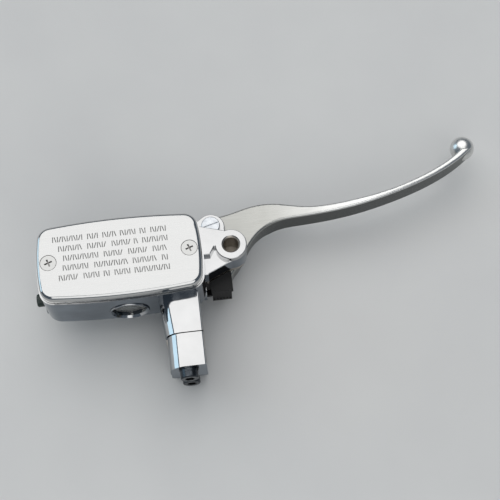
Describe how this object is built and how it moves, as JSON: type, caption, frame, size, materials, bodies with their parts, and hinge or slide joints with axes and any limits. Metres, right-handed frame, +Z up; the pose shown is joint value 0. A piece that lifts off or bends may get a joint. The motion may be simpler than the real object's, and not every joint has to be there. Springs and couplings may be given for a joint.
{
  "type": "motorcycle front brake master cylinder",
  "caption": "Handlebar brake master cylinder with integral reservoir, sight glass, clamp, ball-end lever, brake light switch and mirror boss.",
  "frame": {"origin": "on the handlebar's axis, in the plane of the two clamp bolts", "axes": "+X along the handlebar and the bore towards the lever's tip, +Y away from the rider, +Z up through the reservoir's lid"},
  "size_m": [0.2788, 0.1434, 0.0638],
  "materials": {
    "chrome_casting": "polished and chrome plated",
    "chrome_lid": "brushed and chrome plated",
    "steel_screws": "bright stainless",
    "zinc_steel": "zinc plated",
    "spring_steel": "drawn wire",
    "satin_aluminium": "satin polished",
    "anodised_aluminium": "hard anodised",
    "bronze": "sintered bronze",
    "brass_contact": "bright",
    "black_rubber": "matte",
    "black_plastic": "moulded",
    "white_plastic": "moulded",
    "green_plastic": "translucent",
    "clear_glass": "clear polished"
  },
  "bodies": {
    "master": {"body": "chrome_casting", "lid": "chrome_lid", "lid_screws": "steel_screws", "diaphragm": "black_rubber", "diaphragm_plate": "white_plastic", "port_shield": "steel_screws", "sight_glass_ring": "chrome_casting", "sight_glass": "clear_glass", "sight_glass_seal": "black_rubber", "return_spring": "spring_steel", "retaining_ring": "spring_steel", "dust_boot": "black_rubber", "pivot_bolt": "zinc_steel", "pivot_nut": "zinc_steel", "clamp_holder": "chrome_casting", "clamp_bolts": "zinc_steel", "switch_body": "black_plastic", "switch_terminals": "brass_contact", "switch_screw": "zinc_steel"},
    "lever_assembly": {"lever": "satin_aluminium", "lever_bush": "bronze"},
    "piston_assembly": {"piston": "anodised_aluminium", "primary_cup": "black_rubber", "secondary_cup": "black_rubber"},
    "plunger": {"switch_plunger": "white_plastic"},
    "plug": {"port_plug": "green_plastic"}
  },
  "joints": [
    {"name": "lever_pull", "type": "hinge", "parent": "master", "child": "lever_assembly", "pos_m": [0.0213, 0.0705, -0.004], "axis": [0, 0, -1], "range_deg": [0, 14.9], "stiffness_Nm_per_rad": 1.2, "springref_deg": -17.19},
    {"name": "piston_stroke", "type": "slide", "parent": "master", "child": "piston_assembly", "axis": [-1, 0, 0], "range_m": [0, 0.0084], "deforming": ["return_spring", "dust_boot"]},
    {"name": "switch_plunger_out", "type": "slide", "parent": "master", "child": "plunger", "axis": [0, 1, 0], "range_m": [0, 0.0021]},
    {"name": "port_plug_pull", "type": "slide", "parent": "master", "child": "plug", "axis": [-1, 0, 0], "range_m": [0, 0.04]}
  ],
  "couplings": [
    {"joint": "piston_stroke", "follows": "lever_pull", "m_per_rad": 0.0319},
    {"joint": "switch_plunger_out", "follows": "lever_pull", "m_per_rad": 0.0077}
  ]
}
